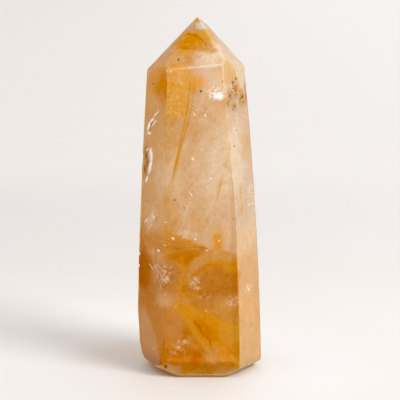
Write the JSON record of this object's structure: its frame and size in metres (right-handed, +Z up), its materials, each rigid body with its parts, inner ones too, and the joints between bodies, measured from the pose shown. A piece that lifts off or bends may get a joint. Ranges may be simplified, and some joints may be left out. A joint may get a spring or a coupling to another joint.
{
  "type": "golden healer quartz tower",
  "caption": "Polished six-sided quartz point with golden iron-oxide veils inside, tapering to a faceted tip and standing on a flat bevelled base.",
  "frame": {"origin": "centre of the bounding box in plan, on the plane of the flat base", "axes": "+Z up through the tip, -Y out of the broad front face, +X to the right of someone who faces that front"},
  "size_m": [0.039, 0.0278, 0.1101],
  "materials": {
    "quartz": "polished, cloudy and see-through, with golden iron-oxide veils"
  },
  "bodies": {
    "root": {"quartz_tower": "quartz"}
  },
  "joints": []
}
